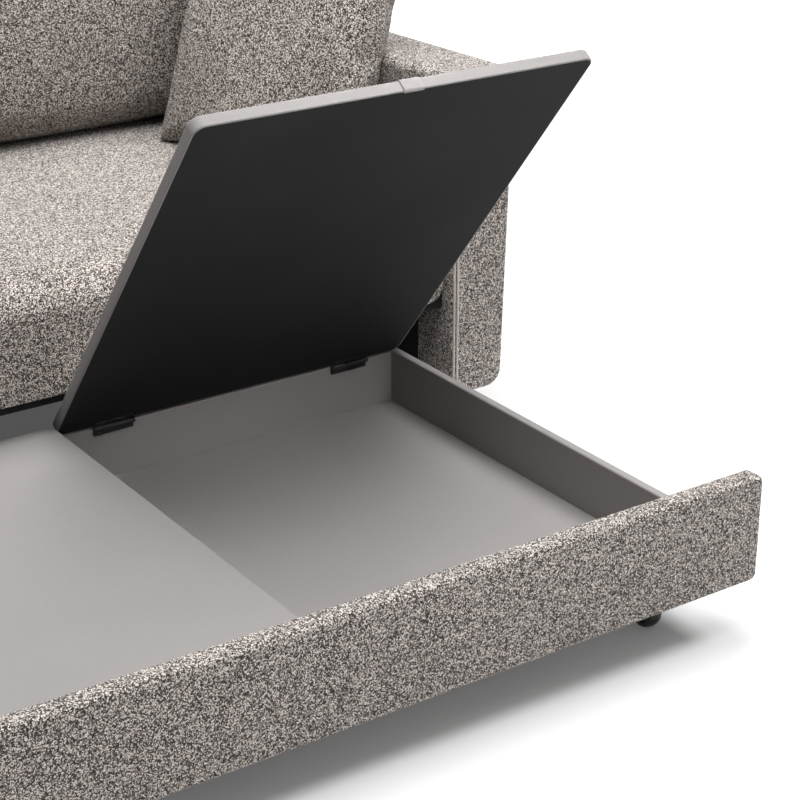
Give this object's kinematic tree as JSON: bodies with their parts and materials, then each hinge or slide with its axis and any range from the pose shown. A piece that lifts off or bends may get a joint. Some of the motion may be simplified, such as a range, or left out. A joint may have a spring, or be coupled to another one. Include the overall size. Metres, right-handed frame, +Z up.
{
  "type": "storage sofa bed",
  "caption": "Sofa with flared arms and a bench seat over a rolling storage drawer, pulled out in front with hinged lids over its compartments, one lid standing open.",
  "frame": {"origin": "on the floor, in the middle of the footprint of the sofa and its pulled-out drawer", "axes": "+X to the right as seen from the front, +Y to the back, +Z up"},
  "size_m": [2.3648, 1.7554, 0.8795],
  "materials": {
    "boucle": "chunky looped boucle, matt",
    "lid_fabric": "smooth warm-grey woven upholstery, matt",
    "drawer_lining": "grey-laminated board, matt",
    "backing": "black non-woven sheet, matt",
    "board": "plain particle board and softwood, unfinished",
    "black_board": "softwood stapled over with black non-woven sheet, matt",
    "webbing": "woven polypropylene webbing",
    "foot_wood": "pale hardwood, satin lacquer",
    "black_metal": "black, semi-gloss",
    "bolt_steel": "zinc-plated",
    "black_plastic": "moulded, glossy",
    "glide": "moulded, matt"
  },
  "bodies": {
    "sofa": {"arm_frame_right": "board", "arm_frame_left": "board", "arm_cover_right": "boucle", "arm_cover_left": "boucle", "arm_linings": "backing", "frame_bolts": "bolt_steel", "seat_front_rail": "black_board", "seat_rear_rail": "board", "seat_side_rails": "board", "seat_cross_rails": "board", "seat_webbing": "webbing", "seat_dust_cover": "backing", "bench_seat": "boucle", "back_frame": "board", "back_cover": "boucle", "foot_front_left": "foot_wood", "foot_front_right": "foot_wood", "foot_rear_left": "foot_wood", "foot_rear_right": "foot_wood", "foot_bolts": "bolt_steel", "foot_glides": "glide"},
    "cushion_left": {"back_cushion_left": "boucle"},
    "cushion_right": {"back_cushion_right": "boucle"},
    "pillow": {"throw_pillow": "boucle"},
    "drawer": {"drawer_floor": "drawer_lining", "drawer_wall_right": "drawer_lining", "drawer_wall_left": "drawer_lining", "drawer_rear_wall": "drawer_lining", "drawer_front_wall": "drawer_lining", "drawer_dividers": "drawer_lining", "front_panel_board": "board", "front_panel_cover": "boucle", "front_panel_bolts": "bolt_steel", "caster_axles": "bolt_steel", "caster_forks": "black_metal", "hinge_wall_leaves": "black_metal", "hinge_pins": "black_metal"},
    "wheel_front_left": {"caster_wheel_front_left": "black_plastic"},
    "wheel_front_right": {"caster_wheel_front_right": "black_plastic"},
    "wheel_rear_left": {"caster_wheel_rear_left": "black_plastic"},
    "wheel_rear_right": {"caster_wheel_rear_right": "black_plastic"},
    "lid_left": {"lid_board_left": "board", "lid_cover_left": "lid_fabric", "lid_backing_left": "backing", "lid_pull_tab_left": "webbing", "lid_hinge_leaves_left": "black_metal"},
    "lid_centre": {"lid_board_centre": "board", "lid_cover_centre": "lid_fabric", "lid_backing_centre": "backing", "lid_pull_tab_centre": "webbing", "lid_hinge_leaves_centre": "black_metal"},
    "lid_right": {"lid_board_right": "board", "lid_cover_right": "lid_fabric", "lid_backing_right": "backing", "lid_pull_tab_right": "webbing", "lid_hinge_leaves_right": "black_metal"}
  },
  "joints": [
    {"name": "drawer_slide", "type": "slide", "parent": "sofa", "child": "drawer", "axis": [0, -1, 0], "range_m": [-0.006, 0.2]},
    {"name": "lid_left_hinge", "type": "hinge", "parent": "drawer", "child": "lid_left", "pos_m": [-0.653, -0.05175, 0.1779], "axis": [-1, 0, 0], "range_deg": [0, 50.8]},
    {"name": "lid_centre_hinge", "type": "hinge", "parent": "drawer", "child": "lid_centre", "pos_m": [0, -0.05175, 0.1779], "axis": [-1, 0, 0], "range_deg": [0, 50.8]},
    {"name": "lid_right_hinge", "type": "hinge", "parent": "drawer", "child": "lid_right", "pos_m": [0.653, -0.05175, 0.1779], "axis": [-1, 0, 0], "range_deg": [-50.8, 0]},
    {"name": "wheel_front_left_spin", "type": "hinge", "parent": "drawer", "child": "wheel_front_left", "pos_m": [-0.9165, -0.78275, 0.025], "axis": [1, 0, 0], "continuous": true},
    {"name": "wheel_front_right_spin", "type": "hinge", "parent": "drawer", "child": "wheel_front_right", "pos_m": [0.9165, -0.78275, 0.025], "axis": [1, 0, 0], "continuous": true},
    {"name": "wheel_rear_left_spin", "type": "hinge", "parent": "drawer", "child": "wheel_rear_left", "pos_m": [-0.9165, -0.09625, 0.025], "axis": [1, 0, 0], "continuous": true},
    {"name": "wheel_rear_right_spin", "type": "hinge", "parent": "drawer", "child": "wheel_rear_right", "pos_m": [0.9165, -0.09625, 0.025], "axis": [1, 0, 0], "continuous": true},
    {"name": "cushion_left_lift", "type": "slide", "parent": "sofa", "child": "cushion_left", "axis": [0, 0, 1], "range_m": [0, 0.3]},
    {"name": "cushion_right_lift", "type": "slide", "parent": "sofa", "child": "cushion_right", "axis": [0, 0, 1], "range_m": [0, 0.3]},
    {"name": "pillow_lift", "type": "slide", "parent": "sofa", "child": "pillow", "axis": [0, 0, 1], "range_m": [0, 0.3]}
  ]
}
